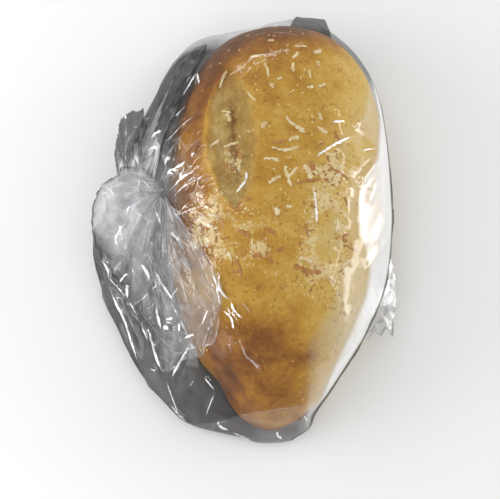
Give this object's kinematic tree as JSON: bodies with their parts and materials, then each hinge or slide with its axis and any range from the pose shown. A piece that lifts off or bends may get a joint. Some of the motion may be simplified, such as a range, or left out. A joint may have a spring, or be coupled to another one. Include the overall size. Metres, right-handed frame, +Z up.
{
  "type": "cheese bread in a tied clear bag",
  "caption": "Soft oval cheese bread with a scored golden crust and baked grated cheese, packed in a clear crinkled bag knotted at its side.",
  "frame": {"origin": "under the middle of the bag, on the surface it lies on", "axes": "+Y along the loaf towards its blunt end, +Z up, +X away from the knot"},
  "size_m": [0.122, 0.176, 0.0568],
  "materials": {
    "bagged_bread": "golden crust seen through clear glossy film",
    "bread_crust": "soft baked crust, golden with browner ends and paler flanks",
    "grated_cheese": "dry baked shreds, pale with toasted ends",
    "clear_film": "thin clear film, glossy and crinkled"
  },
  "bodies": {
    "root": {"bag": "bagged_bread"}
  },
  "joints": []
}
